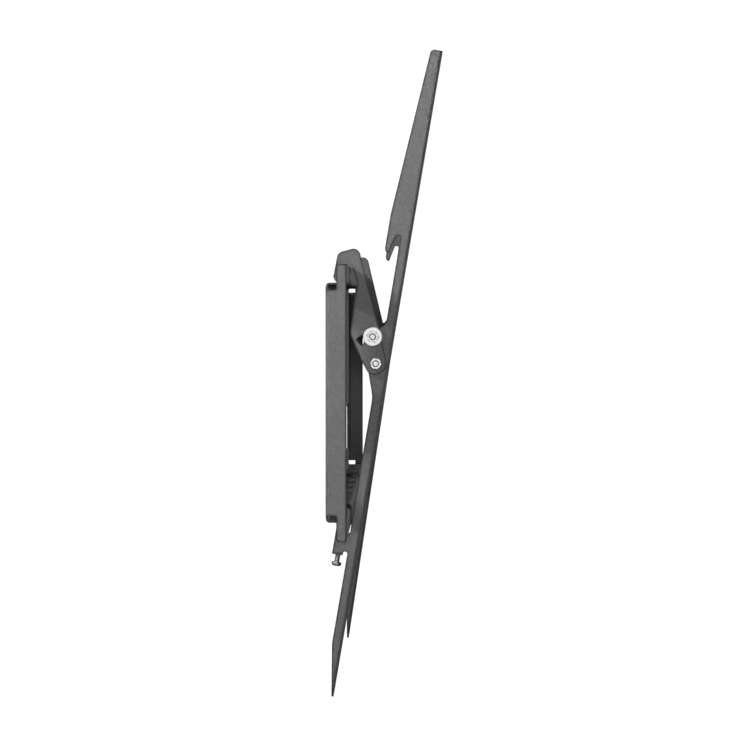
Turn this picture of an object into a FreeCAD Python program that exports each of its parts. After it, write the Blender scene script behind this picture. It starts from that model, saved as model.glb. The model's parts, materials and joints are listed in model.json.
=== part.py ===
import FreeCAD, Part
import os
from math import sin, cos, tan, radians, hypot, atan2

# A tilting television wall mount. X runs along the wall plate, the wall is the plane Y = 0 and the
# television side is -Y, Z is up. The origin is the centre of the plate's wall face. Millimetres.
V = FreeCAD.Vector
ALONG_X = V(1, 0, 0)

# ---- driving dimensions ----
SHEET = 2.0                       # wall plate and rails are bent from 2 mm steel
BEND_OUT = 3.5                    # outside radius of every bend
BEND_IN = BEND_OUT - SHEET
EDGE = 0.35                       # edges rounded by tumbling and by the coating

PLATE_LENGTH = 840.0
PLATE_DEPTH = 18.5                # wall to the front of the lips
PAN_HALF = 106.2                  # half the height of the channel
LIP_HALF = 122.5                  # half the height over the two lips
END_FLANGE_HALF = 99.9            # half the height of the wide part of an end flange
EAR_DEPTH = 9.0                   # the ears beside the lips are this deep
CORNER_RELIEF = 8.0               # the channel stops this far before the end flanges
WINDOW_Z = (31.0, 84.0)           # above and below the middle of the back panel
WINDOW_START = 30.0               # from the centre rib
UPPER_WINDOW_END, LOWER_WINDOW_END = 280.0, 402.0
SCREW_ROW_Z = 94.0
SCREW_PITCH = 80.0
SCREW_SLOT = (7.0, 30.0)          # width and length of a wall screw slot
SCREW_SLOTS_A_SIDE = 5

BRACKET_X = 250.0                 # outer face of each rail's web, from the centre
RAIL_TOP, RAIL_BOTTOM = -300.0, 318.0    # down the rail from the pivot
RAIL_FACE = 13.1                  # television face in front of the pivot
RAIL_WIDTH = 45.0
RAIL_RETURN = 8.0                 # depth of the short flange
TV_HOLE = 8.5                     # clears M8 television screws
TV_SLOT_LENGTH = 18.0
TV_PATTERN = 600.0                # tallest hole pattern that the rail takes
TV_SLOTS = (50.0, 100.0, 150.0, 200.0, 250.0)    # slots above and below the rail's middle

LINK_THICKNESS = 3.0
LINK_GAP = 1.2                    # web to link plate
LIP_AXIS_DROP = 1.0               # the link rocks about a line this far below the lip's edge
PIVOT_FROM_LIP = (1.2, 93.7)      # closed: in front of and below that line
LOCK_RADIUS = 25.5                # tilt lock bolt from the pivot
LOCK_ANGLE = -16.2                # its direction from straight up the rail, - towards the wall
M6, M5 = 3.0, 2.5                 # shank radii
FENDER_RADIUS, FENDER = 9.0, 1.6  # wide washer over the arc slot
THROAT = 2.2                      # radius of the link's seat over the glide
GLIDE = 1.9                       # radius of the glide's crown

SAFETY_AXIS = -5.2                # safety screw behind the lower lip
SAFETY_FLANGE = 184.5             # down to the underside of its flange
SAFETY_OUT = 7.6                  # its head is backed off the flange by this much
SAFETY_LENGTH = 36.0

# swing of the link and tilt of the rail as the mount stands, for each bracket, in degrees
SIDES = {"left": (14.6, 9.6), "right": (13.6, 8.54)}

lip_axis = V(0, -(PLATE_DEPTH - SHEET / 2), LIP_HALF - LIP_AXIS_DROP)
pivot_closed = lip_axis + V(0, -PIVOT_FROM_LIP[0], -PIVOT_FROM_LIP[1])


# ---- general shapes ----
def rounded(corners, place):
    """A closed wire through corners (a, b, radius), put in space by place(a, b)."""
    spots = [V(a, b, 0) for a, b, _ in corners]
    runs = []
    for i, (_, _, radius) in enumerate(corners):
        here = spots[i]
        back = (spots[i - 1] - here).normalize()
        ahead = (spots[(i + 1) % len(spots)] - here).normalize()
        if not radius:
            runs.append((here, None, here))
            continue
        half = back.getAngle(ahead) / 2
        middle = (back + ahead).normalize()
        bulge = here + middle * (radius / sin(half) - radius)
        runs.append((here + back * (radius / tan(half)), bulge, here + ahead * (radius / tan(half))))
    edges = []
    for i, (start, bulge, end) in enumerate(runs):
        if bulge:
            edges.append(Part.Arc(*(place(p.x, p.y) for p in (start, bulge, end))).toShape())
        following = runs[(i + 1) % len(runs)][0]
        if end.distanceToPoint(following) > 1e-6:
            edges.append(Part.LineSegment(place(end.x, end.y), place(following.x, following.y)).toShape())
    return Part.Wire(Part.__sortEdges__(edges))


def side_plate(corners, x0, x1):
    """A flat plate across X; corners are (towards the television, down, radius) from the pivot."""
    wire = rounded(corners, lambda v, u: V(x0, -v, -u))
    return Part.Face(wire).extrude(V(x1 - x0, 0, 0))


def box(x, y, z):
    """A box from three (low, high) pairs."""
    return Part.makeBox(x[1] - x[0], y[1] - y[0], z[1] - z[0], V(x[0], y[0], z[0]))


def rod(radius, x0, x1, v=0.0, u=0.0):
    """A round bar across X."""
    return Part.makeCylinder(radius, x1 - x0, V(x0, -v, -u), ALONG_X)


def slot(width, length, centre, along, through):
    """A round-ended slot cutter; along is its long direction, through the way it cuts."""
    reach = through.cross(along).normalize() * (width / 2)
    end = along * ((length - width) / 2)
    body = [centre - end - reach, centre + end - reach, centre + end + reach, centre - end + reach]
    block = Part.Face(Part.makePolygon(body + body[:1])).extrude(through)
    for spot in (centre - end, centre + end):
        block = block.fuse(Part.makeCylinder(width / 2, through.Length, spot, through))
    return block


def hex_bar(across_flats, x0, x1, v=0.0, u=0.0):
    """A hexagon bar across X, its corners turned down at both ends as on a nut."""
    corner = across_flats / (2 * cos(radians(30)))
    points = [V(x0, -v + corner * cos(radians(60 * i)), -u + corner * sin(radians(60 * i))) for i in range(7)]
    bar = Part.Face(Part.makePolygon(points)).extrude(V(x1 - x0, 0, 0))
    turned = rod(corner, x0, x1, v, u)
    rims = turned.Edges[0:1] + turned.Edges[2:3]
    turned = turned.makeChamfer(0.35 * (corner - across_flats / 2) + 0.4, rims)
    return bar.common(turned)


def soften(shape, edges, radius=EDGE):
    return shape.makeFillet(radius, edges)


# ---- wall plate ----
def wall_plate():
    """One pressed sheet: channel with a lip top and bottom, windows, and folded end flanges."""
    depth, pan, lip = PLATE_DEPTH, PAN_HALF, LIP_HALF
    upper = [(0, pan, BEND_OUT), (depth - SHEET, pan, BEND_IN), (depth - SHEET, lip, 0.6), (depth, lip, 0.6),
             (depth, pan - SHEET, BEND_OUT), (SHEET, pan - SHEET, BEND_IN)]
    lower = [(a, -b, r) for a, b, r in reversed(upper)]
    inner_end = PLATE_LENGTH / 2 - SHEET
    wire = rounded(upper + lower, lambda a, b: V(-inner_end, -a, b))
    plate = Part.Face(wire).extrude(V(2 * inner_end, 0, 0))
    # the channel stops short of the end flanges and leaves open corners
    corner_start = PLATE_LENGTH / 2 - CORNER_RELIEF
    clear = (-(depth - EAR_DEPTH), 1.0)
    for side in (-1, 1):
        ends = sorted((side * corner_start, side * (PLATE_LENGTH / 2 + 1)))
        plate = plate.cut(box(ends, clear, (-pan - 1, pan + 1)))
        plate = plate.fuse(end_flange(side))
    for side in (-1, 1):
        for row, window_end in ((1, UPPER_WINDOW_END), (-1, LOWER_WINDOW_END)):
            x0, x1 = sorted((side * WINDOW_START, side * window_end))
            z0, z1 = sorted((row * WINDOW_Z[0], row * WINDOW_Z[1]))
            corners = [(x0, z0, 6), (x1, z0, 6), (x1, z1, 6), (x0, z1, 6)]
            opening = Part.Face(rounded(corners, lambda a, b: V(a, 1, b)))
            plate = plate.cut(opening.extrude(V(0, -SHEET - 1.5, 0)))
        for row in (-1, 1):
            for i in range(SCREW_SLOTS_A_SIDE):
                centre = V(side * (0.5 + i) * SCREW_PITCH, 1, row * SCREW_ROW_Z)
                plate = plate.cut(slot(*SCREW_SLOT, centre, ALONG_X, V(0, -SHEET - 2, 0)))
    for height in (-45, 0, 45):
        plate = plate.cut(Part.makeCylinder(SCREW_SLOT[0] / 2, SHEET + 2, V(0, 1, height), V(0, -1, 0)))
    return plate.removeSplitter()


def end_flange(side):
    """Folded forward from the back panel, with an ear beside each lip."""
    end, root = PLATE_LENGTH / 2, PLATE_LENGTH / 2 - CORNER_RELIEF - 1
    section = [(root, 0, 0), (end, 0, BEND_OUT), (end, PLATE_DEPTH, 0.4), (end - SHEET, PLATE_DEPTH, 0.4),
               (end - SHEET, SHEET, BEND_IN), (root, SHEET, 0)]
    wire = rounded(section, lambda a, b: V(side * a, -b, -END_FLANGE_HALF))
    flange = Part.Face(wire).extrude(V(0, 0, 2 * END_FLANGE_HALF))
    near, far = PLATE_DEPTH - EAR_DEPTH, PLATE_DEPTH
    ear = [(near, -LIP_HALF, 1.5), (far, -LIP_HALF, 1.5), (far, LIP_HALF, 1.5), (near, LIP_HALF, 1.5)]
    wire = rounded(ear, lambda a, b: V(side * (end - SHEET), -a, b))
    return flange.fuse(Part.Face(wire).extrude(V(side * SHEET, 0, 0)))


# ---- bracket pieces, for the left bracket, closed, with the pivot at the origin ----
# The rail's web fills X 0 to SHEET; the link plate and the nuts are outside it, on the -X side.
link_x = (-LINK_GAP - LINK_THICKNESS, -LINK_GAP)
lock_v, lock_u = LOCK_RADIUS * sin(radians(LOCK_ANGLE)), -LOCK_RADIUS * cos(radians(LOCK_ANGLE))
lip_v, lip_u = -PIVOT_FROM_LIP[0], -PIVOT_FROM_LIP[1]


def link_plate():
    """Thick flat link: a hooked head over the lip, an arc slot for the tilt lock, and the pivot eye."""
    eye = 10.2
    corners = [
        (-8.1, -110.0, 6.5), (11.8, -110.0, 6.5), (11.5, -30, 0), (eye, 0, 0), (eye, eye, eye),
        (-8.6, eye, 8.4), (-12.7, -7.6, 14), (-16.3, -33, 5), (-4.4, -63.3, 20), (2.2, -77, 8), (1.9, -87, 8),
        (lip_v + THROAT, lip_u + 1, 0), (lip_v + THROAT, lip_u - THROAT, THROAT),
        (lip_v - THROAT, lip_u - THROAT, THROAT), (lip_v - THROAT, lip_u + 0.6, 0.5), (-14.0, -82.8, 2),
        (-17.2, -84.4, 1.5), (-18.2, -89.0, 2)]
    plate = side_plate(corners, *link_x)
    outline = [e for e in plate.Edges if abs(e.CenterOfMass.x - link_x[0]) < 1e-6]
    plate = soften(plate, outline)
    plate = plate.cut(rod(M6 + 0.05, link_x[0] - 1, link_x[1] + 1))
    return plate.cut(arc_slot())


def arc_slot():
    """Square-ended slot about the pivot, as long as the lock bolt's travel and its own width."""
    half_width, inner_end, outer_end = 3.6, LOCK_ANGLE - 7.4, LOCK_ANGLE + 31.8

    def at(radius, angle):
        return V(link_x[0] - 1, -radius * sin(radians(angle)), radius * cos(radians(angle)))

    low, high = LOCK_RADIUS - half_width, LOCK_RADIUS + half_width
    middle = (inner_end + outer_end) / 2
    edges = [
        Part.Arc(at(high, inner_end), at(high, middle), at(high, outer_end)).toShape(),
        Part.LineSegment(at(high, outer_end), at(low, outer_end)).toShape(),
        Part.Arc(at(low, outer_end), at(low, middle), at(low, inner_end)).toShape(),
        Part.LineSegment(at(low, inner_end), at(high, inner_end)).toShape()]
    return Part.Face(Part.Wire(edges)).extrude(V(LINK_THICKNESS + 2, 0, 0))


def tilt_rail():
    """Bent channel: the web carries the links and the lower lip's seat, the face takes the television."""
    deep = -14.8
    section = [(0, deep, 0), (0, RAIL_FACE, BEND_OUT), (RAIL_WIDTH, RAIL_FACE, BEND_OUT),
               (RAIL_WIDTH, RAIL_FACE - RAIL_RETURN, 0), (RAIL_WIDTH - SHEET, RAIL_FACE - RAIL_RETURN, 0),
               (RAIL_WIDTH - SHEET, RAIL_FACE - SHEET, BEND_IN), (SHEET, RAIL_FACE - SHEET, BEND_IN),
               (SHEET, deep, 0)]
    wire = rounded(section, lambda x, v: V(x, -v, -RAIL_BOTTOM))
    channel = Part.Face(wire).extrude(V(0, 0, RAIL_BOTTOM - RAIL_TOP))
    beyond = RAIL_FACE + 1
    web = [
        (beyond, RAIL_TOP, 0), (2.0, RAIL_TOP, 4), (-9.6, -141, 12), (-9.6, -109, 0.6), (-8.6, -105.6, 0.8),
        (-5.3, -104.0, 0.8), (-0.9, -122.3, 1.2), (3.2, -122.3, 1.4),                # tooth and notch
        (3.2, -41.5, 2), (0.6, -36.0, 3), (-2.5, -33.6, 3), (-14.6, -33.6, 7.4),      # lobe for the tilt lock
        (-14.6, -14, 10), (-5.9, 8.5, 20), (2.2, 31.7, 30),
        (2.3, 150, 0), (3.0, 163.4, 3.2), (-3.9, 163.4, 3.2), (-3.9, 157.4, 1.5), (-10.9, 157.4, 2),   # seat
        (-10.9, SAFETY_FLANGE, 0), (-0.8, SAFETY_FLANGE, 0), (-0.8, 180.3, 2.0), (3.5, 180.3, 2.0),
        (3.3, 268, 12), (11.15, RAIL_BOTTOM, 0.6), (beyond, RAIL_BOTTOM, 0)]
    keep = side_plate(web, -1, SHEET + 1)
    short = RAIL_FACE - RAIL_RETURN
    rest = [(beyond, RAIL_TOP, 0), (short, RAIL_TOP, 3), (short, 280, 20), (11.15, RAIL_BOTTOM, 0.6),
            (beyond, RAIL_BOTTOM, 0)]
    keep = keep.fuse(side_plate(rest, SHEET + 1, RAIL_WIDTH + 1))
    rail = channel.common(keep)
    rail = rail.cut(box((-1, SHEET + 1), (0.8, 12), (-SAFETY_FLANGE - 1, -174)))
    rail = rail.fuse(safety_flange())
    for cutter in television_holes():
        rail = rail.cut(cutter)
    rail = rail.cut(rod(M6 + 0.1, -1, SHEET + 1))
    rail = rail.cut(rod(M6 + 0.1, -1, SHEET + 1, lock_v, lock_u))
    return rail.removeSplitter()


def safety_flange():
    """Folded inwards from the web below the lower lip, tapped for the safety screw."""
    width = 14.0
    section = [(0, 174, 0), (0, SAFETY_FLANGE, BEND_OUT), (width, SAFETY_FLANGE, 0),
               (width, SAFETY_FLANGE - SHEET, 0), (SHEET, SAFETY_FLANGE - SHEET, BEND_IN), (SHEET, 174, 0)]
    wire = rounded(section, lambda x, u: V(x, 0.8, -u))
    flange = Part.Face(wire).extrude(V(0, 10.1, 0))
    hole = Part.makeCylinder(M5 + 0.02, 2 * SHEET, V(width / 2 + 0.5, -SAFETY_AXIS, -SAFETY_FLANGE - 1))
    return flange.cut(hole)


def television_holes():
    """Round holes for the tallest pattern at the ends, slots for the smaller patterns between them."""
    middle_u, line_x = (RAIL_TOP + RAIL_BOTTOM) / 2, RAIL_WIDTH / 2
    through = V(0, SHEET + 2, 0)
    for side in (-1, 1):
        centre = V(line_x, -RAIL_FACE - 1, -middle_u + side * TV_PATTERN / 2)
        yield Part.makeCylinder(TV_HOLE / 2, through.Length, centre, through)
        for offset in TV_SLOTS:
            centre = V(line_x, -RAIL_FACE - 1, -middle_u + side * offset)
            yield slot(TV_HOLE, TV_SLOT_LENGTH, centre, V(0, 0, 1), through)


def lip_glide():
    """Nylon saddle over the lip; the link's throat rocks on its crown between two collars."""
    middle, half = (link_x[0] + link_x[1]) / 2, 5.0
    leg = 11.0
    body = rod(GLIDE, middle - half, middle + half, lip_v, lip_u)
    legs = box((middle - half, middle + half), (-lip_v - GLIDE, -lip_v + GLIDE), (-lip_u - leg, -lip_u))
    body = body.fuse(legs)
    for x0 in (link_x[0] - 1.5, link_x[1] + 0.2):
        body = body.fuse(rod(GLIDE + 1.1, x0, x0 + 1.3, lip_v, lip_u))
    play = 0.05
    gap = box((middle - half - 1, middle + half + 1), (-lip_v - SHEET / 2 - play, -lip_v + SHEET / 2 + play),
              (-lip_u - leg - 1, -lip_u + LIP_AXIS_DROP + play))
    return body.cut(gap).removeSplitter()


def bolt(v, u, length):
    """Button-headed M6 bolt: the head is inside the rail, the end stands out of its nut."""
    head = rod(5.4, SHEET, SHEET + 3.2, v, u)
    head = head.makeFillet(1.6, [e for e in head.Edges if abs(e.CenterOfMass.x - SHEET - 3.2) < 1e-6])
    shank = rod(M6, -length, SHEET, v, u)
    shank = shank.makeChamfer(0.6, [e for e in shank.Edges if abs(e.CenterOfMass.x + length) < 1e-6])
    return head.fuse(shank).removeSplitter()


def washer(radius, x0, x1, v=0.0, u=0.0):
    ring = rod(radius, x0, x1, v, u)
    rims = [e for e in ring.Edges if e.Closed and abs(e.CenterOfMass.y + v) < 1e-6 and e.Length > 1]
    ring = soften(ring, rims, 0.25)
    return ring.cut(rod(M6 + 0.1, x0 - 1, x1 + 1, v, u))


def nut(x0, x1, v=0.0, u=0.0):
    return hex_bar(10.0, x0, x1, v, u).cut(rod(M6 + 0.02, x0 - 1, x1 + 1, v, u))


def safety_screw():
    """M5 pan-head screw along the rail, backed out of its flange."""
    x, top = 7.5, -SAFETY_FLANGE - SAFETY_OUT
    up = V(0, 0, 1)
    shank = Part.makeCylinder(M5, SAFETY_LENGTH, V(x, -SAFETY_AXIS, top), up)
    tip = top + SAFETY_LENGTH
    shank = shank.makeChamfer(0.5, [e for e in shank.Edges if abs(e.CenterOfMass.z - tip) < 1e-6])
    head = Part.makeCylinder(4.6, 3.4, V(x, -SAFETY_AXIS, top - 3.4), up)
    head = head.makeFillet(1.8, [e for e in head.Edges if abs(e.CenterOfMass.z - top + 3.4) < 1e-6])
    cross = box((x - 0.5, x + 0.5), (-SAFETY_AXIS - 2, -SAFETY_AXIS + 2), (top - 4, top - 1.8))
    cross = cross.fuse(box((x - 2, x + 2), (-SAFETY_AXIS - 0.5, -SAFETY_AXIS + 0.5), (top - 4, top - 1.8)))
    return shank.fuse(head).cut(cross).removeSplitter()


def bracket():
    """The pieces of one bracket by name, with the joint group that each turns in."""
    face = 0.1                                       # running gap beside the link plate
    outside = link_x[0] - face
    return {
        "lip_glide": ("glide", lip_glide()),
        "link_plate": ("link", link_plate()),
        "tilt_rail": ("rail", tilt_rail()),
        "pivot_bolt": ("rail", bolt(0, 0, 11.2)),
        "pivot_spacer": ("rail", washer(7.5, -LINK_GAP + face, 0)),
        "pivot_nut": ("rail", nut(outside - 5.0, outside)),
        "tilt_lock_bolt": ("rail", bolt(lock_v, lock_u, 12.6)),
        "tilt_lock_spacer": ("rail", washer(7.0, -LINK_GAP + face, 0, lock_v, lock_u)),
        "tilt_lock_washer": ("rail", washer(FENDER_RADIUS, outside - FENDER, outside, lock_v, lock_u)),
        "tilt_lock_nut": ("rail", nut(outside - FENDER - 5.0, outside - FENDER, lock_v, lock_u)),
        "safety_screw": ("rail", safety_screw()),
    }


def placed(shape, group, side, swing, tilt):
    """Moves a piece from the closed bracket to where it stands, on the left or the right."""
    shape = shape.copy()
    shape.translate(pivot_closed)
    out = swing if group in ("link", "rail") else 0.0
    shape.rotate(lip_axis, ALONG_X, -out)
    if group == "rail":
        away = pivot_at(swing)
        shape.rotate(away, ALONG_X, swing + tilt)
    shape.translate(V(-BRACKET_X, 0, 0))
    return shape.mirror(V(0, 0, 0), ALONG_X) if side == "right" else shape


def pivot_at(swing):
    """Where the pivot is when the link has swung out."""
    reach, start = hypot(*PIVOT_FROM_LIP), atan2(*PIVOT_FROM_LIP)
    angle = start + radians(swing)
    return lip_axis + V(0, -reach * sin(angle), -reach * cos(angle))


os.makedirs("parts", exist_ok=True)
pieces = {"wall_plate": wall_plate()}
for side, (swing, tilt) in SIDES.items():
    for name, (group, shape) in bracket().items():
        pieces[f"{side}_{name}"] = placed(shape, group, side, swing, tilt)
    where = pivot_at(swing)
    print(side, "pivot at rest", round(where.y, 3), round(where.z, 3))
print("swing axis", lip_axis)
for name, shape in pieces.items():
    size = shape.BoundBox
    print(f"{name:24s} solids {len(shape.Solids)} valid {shape.isValid()} {shape.Volume / 1000:8.2f} cm3",
          [round(v, 1) for v in (size.XMin, size.YMin, size.ZMin, size.XMax, size.YMax, size.ZMax)])
    shape.exportStep(f"parts/{name}.step")
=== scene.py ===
import json
from math import cos, pi, radians, sin

import bmesh
import bpy
from mathutils import Matrix, Vector


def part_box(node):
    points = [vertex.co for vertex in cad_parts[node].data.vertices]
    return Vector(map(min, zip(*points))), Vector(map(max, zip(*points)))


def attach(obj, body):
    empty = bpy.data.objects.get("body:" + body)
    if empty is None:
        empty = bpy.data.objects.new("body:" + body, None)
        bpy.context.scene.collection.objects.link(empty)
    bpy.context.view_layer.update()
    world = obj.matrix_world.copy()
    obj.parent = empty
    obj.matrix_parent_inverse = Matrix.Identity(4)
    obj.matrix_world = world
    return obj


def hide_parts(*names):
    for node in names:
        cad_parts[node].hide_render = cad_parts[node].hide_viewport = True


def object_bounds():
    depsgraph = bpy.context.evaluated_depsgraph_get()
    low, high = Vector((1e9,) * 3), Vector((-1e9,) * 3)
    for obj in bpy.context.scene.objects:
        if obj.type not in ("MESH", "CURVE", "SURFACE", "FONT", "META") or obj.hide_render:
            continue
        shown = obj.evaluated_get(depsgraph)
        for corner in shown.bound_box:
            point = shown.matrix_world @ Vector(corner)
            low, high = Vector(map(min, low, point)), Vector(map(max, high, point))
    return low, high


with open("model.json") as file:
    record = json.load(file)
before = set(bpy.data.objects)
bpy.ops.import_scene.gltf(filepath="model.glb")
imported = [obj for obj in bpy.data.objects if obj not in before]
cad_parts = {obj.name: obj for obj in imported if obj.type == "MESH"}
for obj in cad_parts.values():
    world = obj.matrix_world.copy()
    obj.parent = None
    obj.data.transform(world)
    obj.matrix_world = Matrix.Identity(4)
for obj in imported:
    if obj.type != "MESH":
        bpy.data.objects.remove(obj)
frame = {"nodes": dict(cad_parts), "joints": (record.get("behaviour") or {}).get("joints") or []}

cad_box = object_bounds()

# ---- Camera ----
# A long lens stands off the left end of the wall plate and looks along it, so the mount is seen end
# on: the wall is on the left, the television side on the right. It stands a little in front of the
# rails and above the plate's middle, and is turned a touch down and towards the wall to frame it all.
plate_low, plate_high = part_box("wall_plate")
turn_to_wall, turn_down = 0.01262, 0.02762
gaze = Vector((cos(turn_to_wall) * cos(turn_down), sin(turn_to_wall) * cos(turn_down), -sin(turn_down)))

lens = bpy.data.cameras.new("camera")
lens.sensor_width = 36.0
lens.lens = 129.4
lens.clip_end = 50.0
camera = bpy.data.objects.new("camera", lens)
camera.location = (plate_low.x - 2.3713, plate_low.y - 0.0551, 0.0904)
camera.rotation_euler = gaze.to_track_quat("-Z", "Y").to_euler()
bpy.context.scene.collection.objects.link(camera)
bpy.context.scene.camera = camera
bpy.context.scene.view_settings.view_transform = "Standard"


# ---- Studio ----
# A white paper floor and a white wall all round, kept out of bounced light, so only the softboxes light
# the steel: a key high on the wall side, a small fill by the lens and a wide one beyond the far end.
class Value:
    """One shader socket: sums and products make Math nodes, and node() makes any other node."""

    def __init__(self, tree, socket=None):
        self.tree = tree
        self.socket = socket

    def node(self, kind, settings=None, inputs=None, output=0):
        made = self.tree.nodes.new(kind)
        for key, setting in (settings or {}).items():
            if key == "stops":
                self.set_stops(made.color_ramp, setting)
            else:
                setattr(made, key, setting)
        for key, given in (inputs or {}).items():
            if isinstance(given, Value):
                self.tree.links.new(given.socket, made.inputs[key])
            else:
                made.inputs[key].default_value = given
        return Value(self.tree, made.outputs[output])

    @staticmethod
    def set_stops(ramp, stops):
        while len(ramp.elements) < len(stops):
            ramp.elements.new(1.0)
        for element, (place, level) in zip(ramp.elements, stops):
            element.position = place
            element.color = (level, level, level, 1.0)

    def math(self, operation, *terms, clamp=False):
        settings = {"operation": operation, "use_clamp": clamp}
        return self.node("ShaderNodeMath", settings, dict(enumerate(terms)))

    def __add__(self, other):
        return self.math("ADD", self, other)

    def __mul__(self, other):
        return self.math("MULTIPLY", self, other)

    def __rsub__(self, other):
        return self.math("SUBTRACT", other, self)

    def __radd__(self, other):
        return self.math("ADD", other, self)

    def clamped(self):
        return self.math("ADD", self, 0.0, clamp=True)

    def colour_between(self, low, high):
        """This value, 0 to 1, as a colour from low to high."""
        return self.node("ShaderNodeMix", {"data_type": "RGBA"}, {0: self, 6: low, 7: high}, output=2)


def new_material(name):
    """A material, its Principled shader, and a Value to start its nodes from."""
    material = bpy.data.materials.new(name)
    material.use_nodes = True
    shader = material.node_tree.nodes["Principled BSDF"]
    return material, shader, Value(material.node_tree)


def grey(level):
    return (level, level, level, 1.0)


def feed(shader, name, value):
    shader.id_data.links.new(value.socket, shader.inputs[name])


def link(name, mesh_or_light, place=(0.0, 0.0, 0.0)):
    held = bpy.data.objects.new(name, mesh_or_light)
    held.location = place
    bpy.context.scene.collection.objects.link(held)
    return held


def mesh_from(form, name, material):
    mesh = bpy.data.meshes.new(name)
    form.to_mesh(mesh)
    form.free()
    mesh.materials.append(material)
    return mesh


def softbox(name, place, aim, size, power, spread=pi):
    """An area light at place, turned to aim; a grid on its front narrows its spread."""
    lamp = bpy.data.lights.new(name, "AREA")
    lamp.shape = "RECTANGLE"
    lamp.size, lamp.size_y = size
    lamp.energy = power
    lamp.spread = spread
    held = link(name, lamp, place)
    held.rotation_euler = (Vector(aim) - Vector(place)).to_track_quat("-Z", "Z").to_euler()


paper, paper_shader, start = new_material("studio_paper")
fibres = start.node("ShaderNodeTexNoise", {}, {"Scale": 3.0, "Detail": 2.0})
feed(paper_shader, "Emission Color", fibres.colour_between(grey(1.02), grey(1.05)))
paper_shader.inputs["Base Color"].default_value = grey(0.0)
paper_shader.inputs["Roughness"].default_value = 1.0
paper_shader.inputs["Specular IOR Level"].default_value = 0.0
paper_shader.inputs["Emission Strength"].default_value = 1.0
STUDIO_RADIUS = 14.0
disc = bmesh.new()
bmesh.ops.create_circle(disc, cap_ends=True, radius=STUDIO_RADIUS, segments=64)
floor = link("studio_floor", mesh_from(disc, "studio_floor", paper), (0.0, 0.0, cad_box[0][2] - 0.25))
ball = bmesh.new()
bmesh.ops.create_uvsphere(ball, u_segments=64, v_segments=32, radius=STUDIO_RADIUS)
for face in ball.faces:
    face.normal_flip()
backdrop = link("studio_backdrop", mesh_from(ball, "studio_backdrop", paper))
for sheet in (floor, backdrop):
    sheet.visible_diffuse = False
    sheet.visible_glossy = False

softbox("key_light", (-1.9, 2.4, 2.0), (-0.25, -0.03, 0.80), (1.4, 1.0), 30.0, radians(38))
softbox("lens_fill", (-2.86, -0.074, 0.1), (0.0, -0.03, 0.0), (0.16, 0.16), 72.0)
softbox("front_fill", (2.2, -2.8, 1.0), (0.0, -0.03, 0.0), (2.0, 1.4), 75.0)
world = bpy.data.worlds.new("studio_air")
world.use_nodes = True
world.node_tree.nodes["Background"].inputs["Color"].default_value = grey(0.006)
bpy.context.scene.world = world


# ---- Wall plate ----
# One sheet of 2 mm steel, cut, folded and powder coated dark grey after folding. The coat is a fine
# texture of small domes that run together; dome tops get a painted highlight, edges a thin painted
# shade.
def powder_coat(name, tone):
    """Fine-texture powder coat over steel; tone is the coat's middle grey."""
    material, shader, start = new_material(name)
    place = start.node("ShaderNodeTexCoord", output="Object")
    soft = {"Vector": place, "Scale": 430.0, "Detail": 2.0, "Roughness": 0.55}
    domes = start.node("ShaderNodeTexNoise", {}, soft)
    sharp = {"Vector": place, "Scale": 1500.0, "Detail": 2.5, "Roughness": 0.6}
    grit = start.node("ShaderNodeTexNoise", {}, sharp)
    cloud = start.node("ShaderNodeTexNoise", {}, {"Vector": place, "Scale": 24.0, "Detail": 3.0})
    pits = start.node("ShaderNodeTexVoronoi", {}, {"Vector": place, "Scale": 900.0}, output="Distance")
    # painted highlight: the tops of the domes are painted paler
    painted_dome_highlight = start.node("ShaderNodeValToRGB", {"stops": ((0.36, 0.0), (0.66, 1.0))}, {"Fac": domes})
    rounded = start.node("ShaderNodeBevel", {"samples": 6}, {"Radius": 0.0010})
    # the wide bevel only finds the edges, where the painted shade goes
    rim = start.node("ShaderNodeBevel", {"samples": 8}, {"Radius": 0.0034})
    flat = start.node("ShaderNodeNewGeometry", output="Normal")
    dot = {"operation": "DOT_PRODUCT"}
    turned = start.node("ShaderNodeVectorMath", dot, {0: rim, 1: flat}, output="Value")
    # painted shade: a thin dark line painted along every edge, where the wide bevel turns away
    painted_edge_shade = ((1.0 - turned) * 16.0).clamped()
    level = (painted_dome_highlight * 0.36 + grit * 0.40 + cloud * 0.24).clamped()
    # coat grey: random tone from grit and cloud, plus the painted highlight on the dome tops
    coat = level.colour_between(grey(tone * 0.58), grey(tone * 1.46))
    # the near-black grey here is the painted edge shade
    colours = {0: painted_edge_shade, 6: coat, 7: grey(tone * 0.04)}
    feed(shader, "Base Color", start.node("ShaderNodeMix", {"data_type": "RGBA"}, colours, output=2))
    feed(shader, "Roughness", 0.62 + grit * 0.12 + pits * 0.06)
    height = domes * 0.65 + grit * 0.35
    lumps = {"Strength": 0.45, "Distance": 0.00035, "Height": height, "Normal": rounded}
    feed(shader, "Normal", start.node("ShaderNodeBump", {}, lumps))
    shader.inputs["Specular IOR Level"].default_value = 0.38
    return material


def dress(node, material):
    """Gives a CAD node its finished material."""
    mesh = frame["nodes"][node].data
    mesh.materials.clear()
    mesh.materials.append(material)


COAT_TONE = 0.053
dress("wall_plate", powder_coat("plate_powder_coat", COAT_TONE))

# ---- Tilt rails ----
# Bent from the same sheet as the wall plate and coated in the same batch. The web carries the link,
# the face takes the television; they hang on their links by the pivot bolts.
rail_coat = powder_coat("rail_powder_coat", COAT_TONE * 0.98)
for side in ("left", "right"):
    dress(f"{side}_tilt_rail", rail_coat)

# ---- Link plates ----
# Cut from 3 mm plate, edges tumbled round, then coated a shade darker than the sheet parts. Each hooks
# over the upper lip and swings on it.
link_coat = powder_coat("link_powder_coat", COAT_TONE * 0.9)
for side in ("left", "right"):
    dress(f"{side}_link_plate", link_coat)


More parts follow.
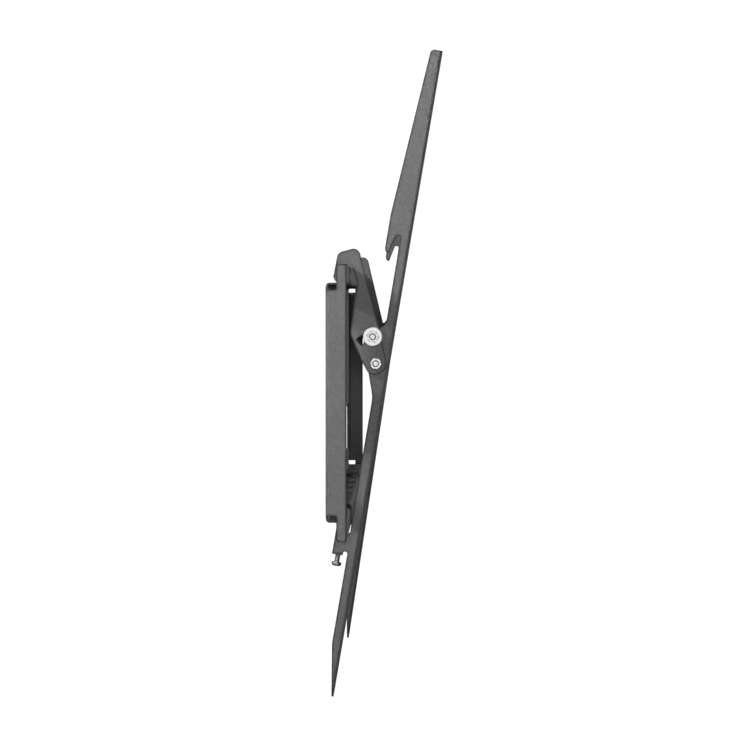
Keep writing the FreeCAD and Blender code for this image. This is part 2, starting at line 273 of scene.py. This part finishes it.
# ---- Lip glides and spacers ----
# Moulded black nylon: the saddle on which each link rocks, and the washers between link and web.
# Moulded parts have a fine even spark-eroded texture and a dull sheen.
def moulded_nylon(name, tone):
    material, shader, start = new_material(name)
    place = start.node("ShaderNodeTexCoord", output="Object")
    spark = start.node("ShaderNodeTexNoise", {}, {"Vector": place, "Scale": 2600.0, "Detail": 2.0})
    flow = start.node("ShaderNodeTexNoise", {}, {"Vector": place, "Scale": 160.0, "Detail": 2.0})
    level = (spark * 0.5 + flow * 0.5).clamped()
    feed(shader, "Base Color", level.colour_between(grey(tone * 0.7), grey(tone * 1.5)))
    feed(shader, "Roughness", 0.42 + flow * 0.18)
    rounded = start.node("ShaderNodeBevel", {"samples": 4}, {"Radius": 0.0003})
    bump = {"Strength": 0.25, "Distance": 0.0001, "Height": spark, "Normal": rounded}
    feed(shader, "Normal", start.node("ShaderNodeBump", {}, bump))
    return material


nylon = moulded_nylon("black_nylon", 0.022)
for side in ("left", "right"):
    for piece in ("lip_glide", "pivot_spacer", "tilt_lock_spacer"):
        dress(f"{side}_{piece}", nylon)


# ---- Wide washers and nuts ----
# Bright zinc-plated steel. The washers are blanked, so their faces keep a faint rolled grain and their
# rims roll over; the nuts are forged with turned corners.
def bright_zinc(name, tone, roughness):
    material, shader, start = new_material(name)
    place = start.node("ShaderNodeTexCoord", output="Object")
    grain = start.node("ShaderNodeMapping", {}, {"Vector": place, "Scale": (700.0, 700.0, 5200.0)})
    rolled = start.node("ShaderNodeTexNoise", {}, {"Vector": grain, "Scale": 1.0, "Detail": 2.0})
    blush = start.node("ShaderNodeTexNoise", {}, {"Vector": place, "Scale": 240.0, "Detail": 3.0})
    level = (rolled * 0.4 + blush * 0.6).clamped()
    feed(shader, "Base Color", level.colour_between(grey(tone * 0.80), grey(tone * 1.12)))
    feed(shader, "Roughness", roughness + rolled * 0.10 + blush * 0.10)
    shader.inputs["Metallic"].default_value = 1.0
    rounded = start.node("ShaderNodeBevel", {"samples": 6}, {"Radius": 0.0007})
    bump = {"Strength": 0.12, "Distance": 0.0001, "Height": rolled, "Normal": rounded}
    feed(shader, "Normal", start.node("ShaderNodeBump", {}, bump))
    return material


zinc = bright_zinc("bright_zinc", 0.19, 0.40)
for side in ("left", "right"):
    for piece in ("tilt_lock_washer", "tilt_lock_nut", "pivot_nut"):
        dress(f"{side}_{piece}", zinc)


# ---- Pivot and tilt lock bolts ----
# M6 bolts with button heads inside the rail, driven by a hexagon key; the rolled thread stands out of
# each nut. Head and shank are one forging, so each is one turned form with the thread run into it.
SEGMENTS = 48


def lathe(rings):
    """A closed form round Z from (height, radius) rings; a radius may be a function of the angle."""
    form = bmesh.new()
    rows = []
    for height, radius in rings:
        row = []
        for i in range(SEGMENTS):
            angle = 2 * pi * i / SEGMENTS
            r = radius(angle) if callable(radius) else radius
            row.append(form.verts.new((r * cos(angle), r * sin(angle), height)))
        rows.append(row)
    for row, above in zip(rows, rows[1:]):
        for i in range(SEGMENTS):
            j = (i + 1) % SEGMENTS
            form.faces.new((row[i], row[j], above[j], above[i]))
    form.faces.new(list(reversed(rows[0])))
    form.faces.new(rows[-1])
    return form


def thread(radius, pitch, height):
    """The radius of a rolled thread round the rod at one height, thinned at the chamfered tip."""
    def at(angle):
        phase = (height / pitch - angle / (2 * pi)) % 1.0
        groove = min(max(abs(phase - 0.5) * 2.6 - 0.4, 0.0), 1.0)
        return min(radius - 0.6 * pitch * groove, radius - 0.0006 + height)
    return at


def hexagon(across_flats):
    return lambda angle: across_flats / 2 / cos((angle + pi / 6) % (pi / 3) - pi / 6)


def stand_in(node, body, axis, form):
    """Puts a form whose tip is at its origin on a CAD bolt's centre line; axis points to the tip."""
    axis = Vector(axis).normalized()
    solid = frame["nodes"][node]
    corners = [solid.matrix_world @ v.co for v in solid.data.vertices]
    across = axis.orthogonal().normalized()
    up = axis.cross(across)
    tip = axis * max(c @ axis for c in corners)
    for way in (across, up):
        reach = [c @ way for c in corners]
        tip += way * (min(reach) + max(reach)) / 2
    turn = Matrix((across, up, -axis)).transposed()
    if turn.determinant() < 0:
        turn = Matrix((up, across, -axis)).transposed()
    piece = link(f"{node}_threaded", mesh_from(form, f"{node}_threaded", zinc))
    piece.data.transform(Matrix.Translation(tip) @ turn.to_4x4())
    piece.data.shade_smooth()
    piece.data.set_sharp_from_angle(angle=radians(28))
    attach(piece, body)
    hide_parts(node)


def shank(radius, pitch, length):
    """Rings of the threaded rod from the tip to under the head."""
    steps = round(length / pitch * 8)
    return [(length * k / steps, thread(radius, pitch, length * k / steps)) for k in range(steps + 1)]


def head(start, rim, collar, dome, recess, depth):
    """Rings of a domed head from its bearing face out, and of the key's recess sunk in it."""
    top = start + collar + dome
    rings = [(start, rim), (start + collar, rim)]
    for k in range(1, 6):
        rings.append((start + collar + dome * sin(k * pi / 10), rim - dome + dome * cos(k * pi / 10)))
    return rings + [(top, recess), (top - depth, recess)]


for side, outward in (("left", (-1, 0, 0)), ("right", (1, 0, 0))):
    for piece, length in (("pivot_bolt", 0.0132), ("tilt_lock_bolt", 0.0146)):
        button = head(length, 0.0054, 0.0016, 0.0016, hexagon(0.004), 0.002)
        rings = shank(0.003, 0.001, length) + button
        stand_in(f"{side}_{piece}", f"{side}_rail", outward, lathe(rings))

# ---- Safety screws ----
# M5 pan-head machine screws with a cross recess, screwed up through the flange under the lower lip, so
# that the tip stands behind the lip and the rail can't be lifted off. Rolled thread, bright zinc.
def cross(angle):
    """The outline of a cross recess: four narrow arms round a small core."""
    return 0.002 if abs((angle + pi / 4) % (pi / 2) - pi / 4) < radians(10) else 0.0007


SCREW_LENGTH = 0.036
for side in ("left", "right"):
    screw = f"{side}_safety_screw"
    travel = next(j for j in frame["joints"] if j["name"] == f"{screw}_travel")
    pan = head(SCREW_LENGTH, 0.0046, 0.0016, 0.0018, cross, 0.0018)
    rings = shank(0.0025, 0.0008, SCREW_LENGTH) + pan
    stand_in(screw, screw, travel["axis"], lathe(rings))
